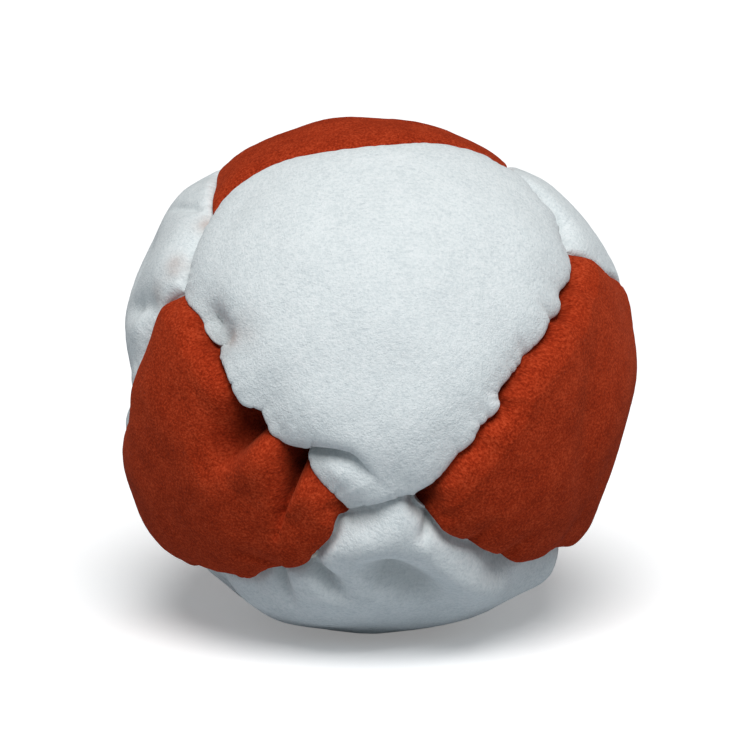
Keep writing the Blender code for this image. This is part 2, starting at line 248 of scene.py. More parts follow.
def curve_through(points):
    """A Catmull-Rom curve through the points, put back on the unit sphere. Its ends run straight on."""
    padded = np.concatenate([[2 * points[0] - points[1]], points, [2 * points[-1] - points[-2]]])
    share = np.linspace(0.0, 1.0, CURVE_STEPS, endpoint=False)[None, :, None]
    before, start, end, after = (padded[i:len(padded) - 3 + i, None] for i in range(4))
    straight = 2 * start + (end - before) * share
    square = (2 * before - 5 * start + 4 * end - after) * share**2
    cube = (3 * start - before - 3 * end + after) * share**3
    return unit(np.concatenate([((straight + square + cube) / 2).reshape(-1, 3), points[-1:]]))


def travel_along(curve):
    """Distance travelled along the curve to each of its points, in metres on the ball."""
    steps = np.linalg.norm(np.diff(curve, axis=0), axis=1)
    return np.concatenate([[0.0], np.cumsum(steps)]) * BALL_RADIUS


def at_travel(curve, travel):
    """Unit vectors at distances along the curve, and unit vectors along it there."""
    marks = travel_along(curve)
    here = unit(np.stack([np.interp(travel, marks, curve[:, i]) for i in range(3)], axis=-1))
    index = np.clip(np.searchsorted(marks, travel), 2, len(marks) - 3)
    along = curve[index + 2] - curve[index - 2]
    return here, unit(along - here * dot(along, here)[:, None])


def waves(places, seed, longest, shortest, height, count=32):
    """Uneven ground: the sum of plane waves in random directions, with wavelengths between the two given,
    scaled to that root mean square height."""
    random = np.random.default_rng(seed)
    lengths = random.uniform(shortest, longest, count)
    turns = unit(random.normal(size=(places.shape[-1], count)).T) / lengths[:, None] * 2 * np.pi
    phases = random.uniform(0, 2 * np.pi, count)
    return np.sin(places @ turns.T + phases).sum(axis=-1) * height * np.sqrt(2 / count)


def corners_of(panel):
    """The panel's middle, and its corners anticlockwise from outside."""
    corners = [corner for corner in JUNCTIONS if panel in corner]
    ways = ways_through([JUNCTIONS[corner] for corner in corners])
    middle = way(0, -90) if panel == "white_base" else unit(ways.sum(axis=0))
    across = unit(np.cross(middle, ways[0]))
    up = np.cross(across, middle)
    order = np.argsort(np.arctan2(ways @ across, ways @ up))
    return middle, [corners[i] for i in order]


PULL_PITCH = 1.8 * MM  # from one pull of the stitching to the next, where a scallop starts
SEEN_STEP = 0.08 * MM  # between points of a seen seam line
SCALLOP_FADE = 1.5 * MM  # from a junction to where the scallops have their full height


def make_seam(pair):
    """The two lines of a seam: the hidden one along its allowances, with its needle holes, and the seen one,
    which bulges by scallops. A scallop is the sine of half a turn from one pull of the stitching to the
    next, to the power 0.8, less 0.6 so that it bulges to both sides of the line. Pitch and height wander
    along the seam."""
    ends = [corner for corner in JUNCTIONS if set(pair) <= set(corner)]
    start, end = (JUNCTIONS[corner] for corner in ends)
    seen_start, seen_end = (SEEN_JUNCTIONS.get(corner, JUNCTIONS[corner]) for corner in ends)
    hidden_bends = HIDDEN_BENDS.get(pair, ())
    hidden = curve_through(ways_through([start, *hidden_bends, end]))
    length = travel_along(hidden)[-1]
    to_hole = SHORT_SEAM_TO_HOLE if set(pair) <= set(WHITE_PANELS) else CORNER_TO_HOLE
    stitches = max(1, round((length - 2 * to_hole) / HOLE_PITCH))
    holes = to_hole + (length - 2 * to_hole) * np.arange(stitches + 1) / stitches
    line = curve_through(ways_through([seen_start, *SEEN_BENDS.get(pair, hidden_bends), seen_end]))
    seen_length = travel_along(line)[-1]
    travel = np.linspace(0.0, seen_length, max(8, round(seen_length / SEEN_STEP)))
    here, along = at_travel(line, travel)
    aside = np.cross(here, along)
    towards_second = np.sign(aside[len(aside) // 2] @ (corners_of(pair[1])[0] - here[len(here) // 2]))
    seed = PANELS.index(pair[0]) * 10 + PANELS.index(pair[1])
    phase = travel / PULL_PITCH + waves(travel[:, None], seed, 12 * MM, 3 * MM, 0.35)
    fade = np.clip(np.minimum(travel, seen_length - travel) / SCALLOP_FADE, 0, 1)
    uneven = 1 + waves(travel[:, None], seed + 100, 9 * MM, 3 * MM, 0.5)
    scallop = SCALLOPS.get(pair, SCALLOP)
    bulge = (np.abs(np.sin(np.pi * phase)) ** 0.8 - 0.6) * scallop * MM * fade * uneven
    seen = unit(here * BALL_RADIUS + aside * (towards_second * bulge)[:, None])
    return dict(ends=ends, hidden=hidden, length=length, holes=holes, line=line, seen=seen, phase=phase,
                gather=scallop / SCALLOP)


SEAMS = {}
for pair in itertools.combinations(PANELS, 2):
    if sum(set(pair) <= set(corner) for corner in JUNCTIONS) == 2:
        SEAMS[pair] = make_seam(pair)


def sides_of(panel):
    """The panel's sides anticlockwise: the seam, the neighbour, and whether the seam runs that way round."""
    corners = corners_of(panel)[1]
    sides = []
    for corner, following in zip(corners, corners[1:] + corners[:1]):
        (other,) = set(corner) & set(following) - {panel}
        pair = tuple(sorted((panel, other), key=PANELS.index))
        sides.append((SEAMS[pair], other, SEAMS[pair]["ends"][0] == corner))
    return sides


COLUMN_WIDTH = 0.16 * MM  # of the mesh along a seam


def columns_of(panel):
    """The mesh's columns round a panel. Each has the ways to its places on the seen and hidden lines, the
    ways in from them, and the number of its side. A column stands on each needle hole's edges."""
    made = dict(seen=[], inward=[], hidden=[], hidden_inward=[], in_hole=[])
    for seam, _, forwards in sides_of(panel):
        half = HOLE_WIDTH / 2
        edges = np.sort(np.concatenate([seam["holes"] - half, seam["holes"] + half]))
        stops = np.concatenate([[0.0], edges, [seam["length"]]]) / seam["length"]
        stops = stops if forwards else 1 - stops[::-1]
        shares = []
        for number, (start, end) in enumerate(zip(stops, stops[1:])):
            count = max(2, round((end - start) * seam["length"] / COLUMN_WIDTH))
            shares.append(np.linspace(start, end, count, endpoint=False))
            made["in_hole"].append(np.full(count, number % 2 == 1))
        shares = np.concatenate(shares)
        shares = shares if forwards else 1 - shares
        turn = 1 if forwards else -1
        here, _ = at_travel(seam["seen"], shares * travel_along(seam["seen"])[-1])
        _, along = at_travel(seam["line"], shares * travel_along(seam["line"])[-1])
        made["seen"].append(here)
        made["inward"].append(unit(np.cross(here, along)) * turn)
        here, along = at_travel(seam["hidden"], shares * seam["length"])
        made["hidden"].append(here)
        made["hidden_inward"].append(np.cross(here, along) * turn)
    counts = [len(piece) for piece in made["seen"]]
    made = {name: np.concatenate(pieces) for name, pieces in made.items()}
    made["side"] = np.repeat(np.arange(len(counts)), counts)
    made["firsts"] = np.cumsum([0] + counts[:-1])
    return made


def evened(values, spread):
    """A running mean round a closed list of columns, weighted by a bell curve of that spread in columns."""
    shifts = np.arange(-3 * spread, 3 * spread + 1)
    weights = np.exp(-0.5 * (shifts / spread) ** 2)
    return sum(weight * np.roll(values, shift) for shift, weight in zip(shifts, weights)) / weights.sum()


LEAST_COSINE = 0.4  # of a column's lean from its side, and beside a corner from the side round it
LEAST_CORNER_COSINE = 0.35
CORNER_REACH = 5 * MM  # over which the side round the corner counts, fully within 4 mm


def reach_in(columns, places, inward, middle, inset):
    """How far each column goes from its side towards the panel's middle to be that far in from its own side,
    and from the side round the corner: the longer of inset / cosine and (inset - distance already) / cosine.
    The first is evened along the side over about 1 mm, so that neighbours keep level where the side bends
    sharply."""
    to_middle = unit(middle - places * (places @ middle)[:, None])
    reach = inset * evened(1 / np.clip(dot(inward, to_middle), LEAST_COSINE, 1), 5)
    firsts, count = columns["firsts"], len(places)
    for corner_shift, normal_shift in ((0, -1), (1, 1)):
        corner = firsts[(columns["side"] + corner_shift) % len(firsts)]
        normal = inward[(corner - 1) % count] if normal_shift < 0 else inward[corner]
        start = places[corner]
        done = dot(places - start, normal) * BALL_RADIUS
        near = np.clip((CORNER_REACH - np.linalg.norm(places - start, axis=1) * BALL_RADIUS) / MM, 0, 1)
        needed = (inset - done) / np.clip(dot(normal, to_middle), LEAST_CORNER_COSINE, 1)
        reach = np.maximum(reach, needed * near)
    return to_middle, evened(reach, 2)


PAST_SLACK = 0.06 * MM  # about half a step of a curve, which doesn't count as past it


def nearest(ways, curve):
    """For each way the curve's nearest point, how far the way lies beside the curve there and past it, in
    metres, and the direction to the curve's left. A way lies past the curve at its ends and outside its
    sharp bends."""
    index = np.argmax(ways.astype(np.float32) @ curve.T.astype(np.float32), axis=1)
    along = unit(curve[np.minimum(index + 1, len(curve) - 1)] - curve[np.maximum(index - 1, 0)])
    apart = (ways - curve[index]) * BALL_RADIUS
    past = np.maximum(np.abs(dot(apart, along)) - PAST_SLACK, 0.0)
    left = np.cross(curve[index], along)
    return index, dot(apart, left), past, left


OVERHANG_REACH = 0.3 * MM  # from the seam to where an overhanging edge reaches furthest
PULL_DEPTH = 0.08 * MM  # of the dimple at a pull of the stitching, and its spread
PULL_SPREAD = 1.0 * MM
PUCKER_DEPTH = 0.05 * MM  # of the pucker that runs in from it, and its spread
PUCKER_SPREAD = 1.6 * MM
SIDES_BLEND = 0.7 * MM  # over which the distances to two sides run into each other


def seam_depth(panel, ways):
    """How far a panel's edges sink below the bag's form, how far each way is from the panel's sides, and the
    sideways move of an overhanging edge. Near each side the edge sinks by a quarter round, by a slope whose
    height wanders along the seam, and by puckers as strong as its scallops that run in from every pull of
    the stitching and die away. The move is the overhang times s exp(1 - s), where s is the distance from the
    seam over 0.3 mm, fading between 0.5 and 1.5 mm from it. The distance to all sides is a soft least one,
    minus 0.7 mm times the log of the sum of exp(-distance / 0.7 mm)."""
    moved = np.zeros_like(ways)
    rounds = np.zeros(len(ways))
    slopes = np.zeros(len(ways))
    nearness = np.zeros(len(ways))
    for seam, other, _ in sides_of(panel):
        *sizes, power = ROLLS.get((panel, other), ROLL)
        round_height, round_width, slope_height, slope_width = (size * MM for size in sizes)
        index, aside, past, left = nearest(ways, seam["seen"])
        distance = np.hypot(aside, past)
        share = np.maximum(distance - CONTACT_INSET, 0) / OVERHANG_REACH
        hanging = share * np.exp(1 - share) * np.clip(1.5 - distance / MM, 0, 1)
        hanging = hanging * np.exp(-past / OVERHANG_REACH) * OVERHANGS.get((panel, other), 0.0) * MM
        moved -= left * (np.sign(aside) * hanging)[:, None]
        lean = np.clip(1 - (distance - CONTACT_INSET) / round_width, 0, 1)
        rounds = np.maximum(rounds, round_height * (1 - np.sqrt(1 - lean**2)))
        uneven = 1 + waves(ways * BALL_RADIUS, PANELS.index(other) + 200, 10 * MM, 5 * MM, 0.22)
        slopes += slope_height * uneven * np.clip(1 - distance / slope_width, 0, 1) ** power
        phase = seam["phase"][index]
        pulled = np.abs(np.cos(np.pi * phase)) ** 6 * np.exp(-((distance / PULL_SPREAD) ** 2))
        pucker = np.cos(2 * np.pi * phase) * np.exp(-distance / PUCKER_SPREAD)
        gathered = 0.5 + waves(ways * BALL_RADIUS, PANELS.index(other) + 300, 14 * MM, 6 * MM, 0.4)
        gathered = np.clip(gathered, 0, 1.4) * seam["gather"]
        slopes += (PULL_DEPTH * pulled + PUCKER_DEPTH * pucker) * gathered
        nearness += np.exp(-distance / SIDES_BLEND)
    return rounds + slopes, -SIDES_BLEND * np.log(np.maximum(nearness, 1e-12)), moved


def fold_along(route, depth, left, right, strength, lip=0.0, narrowing=0.0):
    """A fold along a route of (longitude, latitude). Its depth, its widths to the left and the right of the
    route and its lip are in mm, and its strength is given at even steps along the route. fold_moves says
    what they do."""
    return dict(route=route, depth=depth * MM, left=left * MM, right=right * MM, strength=strength,
                lip=lip * MM, narrowing=narrowing)


def fold_moves(ways, fold):
    """Height and sideways move of a fold. Its height is minus depth, times a pointed bell across the line,
    times a strength that runs along it and dies away past its ends. The bell is exp(-1.5 (sqrt(s squared +
    0.09) - 0.3) to the power 1.35), where s is the distance beside the line over the width on that side.
    Narrowing shrinks the widths with the strength. A lip above 0 moves the leather on the line's left over
    the fold, one below 0 that on its right: the move is the lip, times s squared exp(2 - 2 s)."""
    line = curve_through(ways_through(fold["route"]))
    index, aside, past, side = nearest(ways, line)
    strengths = fold["strength"]
    strength = np.interp(index / (len(line) - 1), np.linspace(0, 1, len(strengths)), strengths)
    narrowed = 1 - fold["narrowing"] * (1 - strength)
    strength = strength * np.exp(-((past / (0.7 * max(fold["left"], fold["right"]))) ** 2))
    beside = np.abs(aside) / (np.where(aside > 0, fold["left"], fold["right"]) * narrowed)
    bell = np.exp(-1.5 * np.maximum(np.sqrt(beside**2 + 0.09) - 0.3, 0.0) ** 1.35)
    hanging = np.where(aside * fold["lip"] > 0, beside**2 * np.exp(2 - 2 * beside), 0.0)
    return -fold["depth"] * bell * strength, -side * (fold["lip"] * hanging * strength)[:, None]


def spots(ways, places):
    """The sum of a bell curve round each place: longitude, latitude, spread in mm, height."""
    total = np.zeros(len(ways))
    for longitude, latitude, spread, height in places:
        apart = np.linalg.norm(ways - way(longitude, latitude), axis=1) * BALL_RADIUS
        total += height * np.exp(-0.5 * (apart / (spread * MM)) ** 2)
    return total


DEEPEST_AT_SEAM = 1.9 * MM  # so a fold that runs into a seam stays above the bottom of its groove
DEEPER_INSIDE = 2.6 * MM  # how much deeper a fold may go from SEAM_STRIP on
SEAM_STRIP = 2.5 * MM
QUIET_STRIP = 4 * MM  # beside the seams, where the broad swellings die away


def surface(panel, ways, folds, dents):
    """Places of a panel's outside along those ways, from the centre, and how far each has sunk below the
    form. Broad, middling and fine uneven ground, dents and folds lie on the form. What sinks is eased off
    short of the deepest that it may go, d, as d tanh((sunk / d) to the power 1.5) to the power 2/3."""
    depth, distance, moved = seam_depth(panel, ways)
    inside = np.clip(distance / QUIET_STRIP, 0, 1)
    seed = PANELS.index(panel)
    radius = waves(ways * BALL_RADIUS, seed + 400, 14 * MM, 8 * MM, 0.10 * MM) * inside
    radius += waves(ways * BALL_RADIUS, seed + 500, 7 * MM, 4 * MM, 0.035 * MM) * (0.3 + 0.7 * inside)
    radius += waves(ways * BALL_RADIUS, seed + 600, 1.6 * MM, 0.8 * MM, 0.008 * MM)
    radius += spots(ways, dents) * MM
    for fold in folds:
        height, move = fold_moves(ways, fold)
        radius += height
        moved = moved + move
    deepest = DEEPEST_AT_SEAM + DEEPER_INSIDE * np.clip(distance / SEAM_STRIP, 0, 1)
    deepest += 0.7 * (form_radius(ways, ()) - form_radius(ways, SEAM_DIPS))
    sunk = np.maximum(depth - radius, 0.0)
    sunk = deepest * np.tanh((sunk / deepest) ** 1.5) ** (2 / 3)
    radius = np.where(radius < depth, -sunk, radius - depth)
    return ways * (radius + form_radius(ways, CAD_SWELLINGS + FINE_SWELLINGS))[:, None] + moved, sunk


def settled(places):
    """The places in the part's frame, pressed flat where the ball stands."""
    places = places + CENTRE
    places[..., 2] = np.maximum(places[..., 2], 0.0)
    return places


def make_mesh_piece(name, places, faces, material):
    """A smooth mesh object at the origin that rides on the bag. Faces come as arrays of one size of polygon
    each."""
    mesh = bpy.data.meshes.new(name)
    mesh.vertices.add(len(places))
    mesh.vertices.foreach_set("co", places.astype(np.float32).ravel())
    corners = np.concatenate([group.ravel() for group in faces]).astype(np.int32)
    sizes = np.concatenate([np.full(len(group), group.shape[1], np.int32) for group in faces])
    mesh.loops.add(len(corners))
    mesh.loops.foreach_set("vertex_index", corners)
    mesh.polygons.add(len(sizes))
    mesh.polygons.foreach_set("loop_start", np.concatenate([[0], np.cumsum(sizes)[:-1]]).astype(np.int32))
    mesh.update(calc_edges=True)
    mesh.validate()
    mesh.shade_smooth()
    mesh.materials.append(material)
    piece = bpy.data.objects.new(name, mesh)
    bpy.context.scene.collection.objects.link(piece)
    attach(piece, "root")
    return piece


def rows_to(middle, ring, shares):
    """Rows of ways between a panel's middle, share 0, and a ring round it, share 1, along great circles.
    Where the ring turns back on itself the rows inside it do not: up to share 7/8 each column has at least
    0.3 of a usual column's room round the middle, and from there the columns run out to the ring's own
    angles."""
    across = unit(ring[0] - middle * (ring[0] @ middle))
    angles = np.unwrap(np.arctan2(ring @ np.cross(middle, across), ring @ across))
    steps = np.diff(np.append(angles, angles[0] + np.sign(angles[-1] - angles[0]) * 2 * np.pi))
    way_round = np.sign(steps.sum())
    spaced = np.maximum(steps * way_round, 0.3 * np.median(steps * way_round))
    spaced = np.cumsum(np.append(0.0, spaced[:-1])) / spaced.sum() * 2 * np.pi * way_round
    spaced += np.mean(angles - spaced)
    turn = np.arccos(np.clip(ring @ middle, -1, 1))
    rows = []
    for share in shares:
        near = max(0.0, share * 8 - 7)
        angle = spaced + (angles - spaced) * near**2
        out = across * np.cos(angle)[:, None] + np.cross(middle, across) * np.sin(angle)[:, None]
        rows.append(middle * np.cos(turn * share)[:, None] + out * np.sin(turn * share)[:, None])
    return rows


def panel_faces(grid, hole_row, in_hole, place_count):
    """The faces of a panel's closed grid: a quad between each two columns and rows, with a fan at each
    middle. The quads at the needle holes, in hole_row and three rows on, are left out and the holes' four
    walls put in."""
    here, left = grid, np.roll(grid, 1, axis=1)
    quads = np.stack([left[:-1], left[1:], here[1:], here[:-1]], axis=-1)
    keep = np.ones(quads.shape[:2], bool)
    keep[hole_row] = keep[hole_row + 3] = ~in_hole
    walls = []
    for near, far, flip in ((hole_row, hole_row + 4, False), (hole_row + 1, hole_row + 3, True)):
        wall = np.stack([left[near], left[far], here[far], here[near]], axis=-1)[in_hole]
        walls.append(wall[:, ::-1] if flip else wall)
    for side, change, flip in ((left, in_hole & ~np.roll(in_hole, 1), False),
                               (here, in_hole & ~np.roll(in_hole, -1), True)):
        wall = side[:, change][[hole_row, hole_row + 1, hole_row + 3, hole_row + 4]].T
        walls.append(wall[:, ::-1] if flip else wall)
    first, last = grid[0], grid[-1]
    fans = [np.stack([np.zeros(len(first), int), np.roll(first, 1), first], axis=-1),
            np.stack([np.roll(last, 1), np.full(len(last), place_count - 1), last], axis=-1)]
    return [quads[keep], *walls, *fans]


def set_attribute(piece, name, values):
    """Writes a number or a vector at each of the mesh's points, for its material."""
    kind, word = ("FLOAT", "value") if values.ndim == 1 else ("FLOAT_VECTOR", "vector")
    attribute = piece.data.attributes.new(name, kind, "POINT")
    attribute.data.foreach_set(word, values.astype(np.float32).ravel())


ROLL_TURNS = np.radians([90, 80, 70, 60, 50, 40, 30, 20, 10, 0])
ROLL_ROWS = 1.0 * MM * (1 - np.sin(ROLL_TURNS))  # insets of the mesh's rows over a rolled edge
INSIDE_ROWS = 14
WALL_TOP_DEPTH = 0.25 * MM  # least depth of an allowance's top below the rolled edge
PAINTED_SHADE_START = 0.7 * MM  # painted shade in folds starts this far below the form and is full 2 mm deeper
PAINTED_SHADE_SPAN = 2.0 * MM
PANEL_SHAPES = {}  # the folds and dents of each panel made so far


def make_panel(panel, material, rows, folds=(), dents=(), smudges=()):
    """A panel as one closed grid. Its columns go round it. Its rows go from the middle of the outside over
    the rolled edge, down the seam allowance to the raw edge, up the inside of the allowance and back to the
    middle under the leather. The rows lie closer towards the edge: row share s stands at (4 s - s squared) /
    3. For its material each point has a place on the nap in mm, how smudged it is, and a share of painted
    shade that grows with how far it has sunk into a fold or groove, full on the walls and the inside."""
    middle, _ = corners_of(panel)
    columns = columns_of(panel)
    seen = columns["seen"]
    rings = []
    for inset in CONTACT_INSET + ROLL_ROWS[::-1]:
        to_middle, reach = reach_in(columns, seen, columns["inward"], middle, inset)
        rings.append(unit(seen * BALL_RADIUS + to_middle * reach[:, None]))
    shares = np.linspace(0, 1, rows + 1)[1:-1]
    crown = rows_to(middle, rings[0], shares * 4 / 3 - shares**2 / 3)
    outside_ways = np.concatenate([middle[None], *crown, *rings])
    outside, sunk = surface(panel, outside_ways, folds, dents)

    hidden = columns["hidden"]
    form = form_radius(hidden, CAD_SWELLINGS + SEAM_DIPS)
    lowest = np.linalg.norm(outside[-len(seen):], axis=1) - WALL_TOP_DEPTH
    radii = [np.minimum(form - HOLE_TOP, lowest), form - HOLE_BOTTOM, form - RAW_EDGE]
    walls = []
    for inset, order in ((ALLOWANCE_INSET, 1), (ALLOWANCE_INSET + LEATHER_THICKNESS, -1)):
        to_middle, reach = reach_in(columns, hidden, columns["hidden_inward"], middle, inset)
        walls += [hidden * radius[:, None] + to_middle * reach[:, None] for radius in radii[::order]]
    start = unit(hidden * BALL_RADIUS + to_middle * reach[:, None])
    under = [start, *rows_to(middle, start, np.linspace(1, 0, INSIDE_ROWS + 1)[1:-1])]
    under_ways = np.concatenate([*under, middle[None]])
    inside, _ = surface(panel, under_ways, [{**fold, "lip": 0.0} for fold in folds], dents)
    inside -= under_ways * LEATHER_THICKNESS
    raised = settled(inside) - CENTRE + [0, 0, LEATHER_THICKNESS]
    inside = np.where((inside + CENTRE)[:, 2:] < LEATHER_THICKNESS, np.maximum(raised, inside), inside)

    places = np.concatenate([settled(outside), *[wall + CENTRE for wall in walls], inside + CENTRE])
    grid = np.arange(1, len(places) - 1).reshape(-1, len(seen))
    hole_row = len(crown) + len(rings)  # the row of the needle holes' tops on the outside
    faces = panel_faces(grid, hole_row, np.roll(columns["in_hole"], 1), len(places))
    piece = make_mesh_piece(panel + "_leather", places, faces, material)

    flat = unit(places - CENTRE)
    along_nap = np.cross([0.0, 0.0, 1.0], middle) if abs(middle[2]) < 0.97 else np.array([-1.0, 0.0, 0.0])
    along_nap = unit(along_nap)
    nap_axes = np.stack([along_nap, np.cross(middle, along_nap), middle], axis=-1)
    set_attribute(piece, "nap_place", flat @ nap_axes * BALL_RADIUS / MM)
    set_attribute(piece, "smudge", spots(flat, smudges))
    # Painted shade: the share of a darker colour grows with how far each point has sunk below the form
    painted_shade_share = np.ones(len(places))
    painted_shade_share[:len(sunk)] = np.clip((sunk - PAINTED_SHADE_START) / PAINTED_SHADE_SPAN, 0, 1)
    set_attribute(piece, "painted_shade_share", painted_shade_share)
    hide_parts(panel + "_panel")
    PANEL_SHAPES[panel] = folds, dents


def linear(colour):
    """The linear RGBA of an sRGB hex colour such as "e4ecee"."""
    values = np.array([int(colour[i:i + 2], 16) for i in (0, 2, 4)]) / 255
    return (*np.where(values <= 0.04045, values / 12.92, ((values + 0.055) / 1.055) ** 2.4), 1.0)


def add_node(material, kind, links=None, **settings):
    """Adds a shader node. links gives each input, by name or number, a socket to read or a plain value.
    Other words are the node's own settings, and ramp gives a colour ramp its stops."""
    node = material.node_tree.nodes.new("ShaderNode" + kind)
    stops = settings.pop("ramp", ())
    for name, value in settings.items():
        setattr(node, name, value)
    for number, (position, colour) in enumerate(stops):
        stop = node.color_ramp.elements[number] if number < 2 else node.color_ramp.elements.new(position)
        stop.position = position
        stop.color = linear(colour)
    for name, value in (links or {}).items():
        if isinstance(value, bpy.types.NodeSocket):
            material.node_tree.links.new(value, node.inputs[name])
        else:
            node.inputs[name].default_value = value
    return node


def new_material(name, **inputs):
    """A material whose shader has those inputs, named with _ for each space. Gives the shader too."""
    material = bpy.data.materials.new(name)
    material.use_nodes = True
    shader = material.node_tree.nodes["Principled BSDF"]
    for word, value in inputs.items():
        shader.inputs[word.replace("_", " ")].default_value = value
    return material, shader


def make_suede(name, colours, streak, streak_strength, painted_shade_colour, painted_shade_strength, grain_scale, sheen, sheen_tint):
    """Split suede: leather sanded to a nap of short fibres. It scatters light softly with no gloss, is paler
    where fibres catch light at its limb, is mottled where they lie different ways, and here and there a
    lying bundle of fibres makes a short dark streak. Deep in its folds and grooves its colour is mixed
    towards a darker one as painted shade. Red dye has rubbed off in faint brown smudges by some seams.
    Fibres are about 0.05 mm thick, drawn 0.15 mm so that they show. Pattern scales are counts in a
    millimetre."""
    material, shader = new_material(name, Roughness=0.95, Specular_IOR_Level=0.05, Sheen_Weight=sheen,
                                    Sheen_Roughness=0.5, Sheen_Tint=linear(sheen_tint))
    place = add_node(material, "Attribute", attribute_name="nap_place").outputs["Vector"]
    cloud = add_node(material, "TexNoise", {"Vector": place, "Scale": 0.5, "Detail": 3.0}).outputs[0]
    grain = add_node(material, "TexNoise", {"Vector": place, "Scale": grain_scale, "Detail": 4.0,
                                            "Roughness": 0.7}).outputs[0]
    lying = add_node(material, "Mapping", {"Vector": place, "Scale": (1.3, 5.2, 3.5)}, vector_type="POINT")
    bundles = add_node(material, "TexNoise", {"Vector": lying.outputs[0], "Scale": 1.0, "Detail": 3.0,
                                              "Roughness": 0.6, "Distortion": 0.6}).outputs[0]
    weighted = add_node(material, "Math", {0: grain, 1: 4.0, 2: cloud}, operation="MULTIPLY_ADD").outputs[0]
    evened = add_node(material, "Math", {0: weighted, 1: 1 / 5}, operation="MULTIPLY").outputs[0]
    nap = add_node(material, "ValToRGB", {"Fac": evened},
                   ramp=((0.38, colours[0]), (0.62, colours[2]), (0.50, colours[1]))).outputs[0]
    marks = add_node(material, "ValToRGB", {"Fac": bundles},
                     ramp=((0.56, "000000"), (0.66, streak_strength))).outputs[0]
    # Painted shade: the nap's colour is mixed towards a darker one deep in folds and grooves
    painted_shade_share = add_node(material, "Attribute", attribute_name="painted_shade_share").outputs["Fac"]
    painted_shade_mix = add_node(material, "Math", {0: painted_shade_share, 1: painted_shade_strength}, operation="MULTIPLY").outputs[0]
    smudge = add_node(material, "Attribute", attribute_name="smudge").outputs["Fac"]
    patchy = add_node(material, "Math", {0: smudge, 1: cloud}, operation="MULTIPLY").outputs[0]
    colour = nap
    for share, other in ((marks, streak), (painted_shade_mix, painted_shade_colour), (patchy, "a8765c")):
        colour = add_node(material, "Mix", {0: share, 6: colour, 7: linear(other)},
                          data_type="RGBA").outputs[2]
    fine = add_node(material, "TexNoise", {"Vector": place, "Scale": 5.5, "Detail": 3.0}).outputs[0]
    rough = add_node(material, "Math", {0: grain, 1: fine}, operation="ADD").outputs[0]
    bump = add_node(material, "Bump", {"Height": rough, "Strength": 1.0, "Distance": 0.075 * MM})
    material.node_tree.links.new(colour, shader.inputs["Base Color"])
    material.node_tree.links.new(bump.outputs[0], shader.inputs["Normal"])
    return material


# The darker colour of each suede and its strength are painted shade for its folds and grooves
white_suede = make_suede(
    "white_split_suede", colours=("dae2e4", "e6edee", "eef3f4"), streak="b2bcc2", streak_strength="909090",
    painted_shade_colour="8c9290", painted_shade_strength=0.5, grain_scale=3.2, sheen=0.2, sheen_tint="ffffff")
red_suede = make_suede(
    "red_split_suede", colours=("84240e", "a63417", "c24928"), streak="7c1e0a", streak_strength="505050",
    painted_shade_colour="400a02", painted_shade_strength=0.68, grain_scale=4.4, sheen=0.3, sheen_tint="e06440")

front_folds = (
    # The tuck: the leather above it lips over the groove
    fold_along(((-16.5, -3.3), (-13, -3.5), (-9.5, -3.5), (-6.3, -3.9), (-4, -5), (-2, -7.5), (0, -10)),
               1.8, 0.45, 1.6, (0.8, 1.0, 1.0, 0.9, 0.5, 0.1), lip=0.50),
    # The roll above the tuck
    fold_along(((-17, -0.5), (-12, -0.5), (-7, -0.5), (-2.5, -2), (0.5, -5.5)), -0.30, 1.6, 1.2,
               (0.6, 1.0, 1.0, 0.7, 0.2)),
    # The dent by the left-hand corner and the hollow from it to the notch in the seam
    fold_along(((-45.5, 23.4), (-42.5, 22.4), (-39.8, 21.7), (-36.5, 20.6)), 1.25, 1.5, 1.4,
               (0.2, 1.0, 1.0, 0.2)),
    fold_along(((-37.8, 16.8), (-36.6, 18.8), (-36, 21)), 0.60, 0.7, 0.7, (1.0, 0.8, 0.3)),
    # Pinches at the right-hand seam
    fold_along(((46.5, 21.5), (44.5, 23.5), (41.5, 26)), 0.70, 0.5, 0.8, (1.0, 0.5, 0.0)),
    fold_along(((36.5, 15), (35, 17), (33, 19.5)), 0.40, 0.5, 0.6, (1.0, 0.5, 0.0)),
    fold_along(((28.5, 6.5), (26, 7.5), (23, 8.5)), 0.40, 0.5, 0.6, (1.0, 0.5, 0.0)),
)
# Dents and smudges: longitude, latitude, spread in mm, then height in mm or strength
front_dents = ((-7.5, -10, 1.9, 0.35), (-46, 20.5, 1.6, 0.2))
front_smudges = ((-35, 18.5, 0.7, 0.55), (-31, 20, 1.2, 0.25))
make_panel("white_front", white_suede, 84, front_folds, front_dents, front_smudges)

# White right panel
# Another six-sided panel of white suede, sewn and turned like the first. It is filled out firmly, so only
# soft grooves show: one beside its seam with the front panel and a few that the other seams pull in.

right_folds = (
    # The soft groove beside the seam with the front panel
    fold_along(((77, 55), (75, 48), (73, 42), (69, 37)), 0.45, 0.7, 0.9, (0.3, 1.0, 1.0, 0.2)),
    fold_along(((113, -27), (120, -14), (128, -4)), 0.80, 1.4, 1.8, (1.0, 0.7, 0.0)),
    fold_along(((150, -12), (142, -4), (130, 4)), 0.60, 1.0, 1.6, (1.0, 0.7, 0.0)),
    fold_along(((120, 52), (126, 42), (134, 34)), 0.60, 1.4, 1.2, (1.0, 0.7, 0.0)),
)
right_dents = ((112, 25, 3.5, 0.35), (150, 22, 3.5, -0.45), (128, -20, 3.0, 0.3))
make_panel("white_right", white_suede, 56, right_folds, right_dents)

# White left panel
# The same piece again on the left, where the filling has slipped away. Its slack leather folds by the lower
# corner and creases by the upper one.

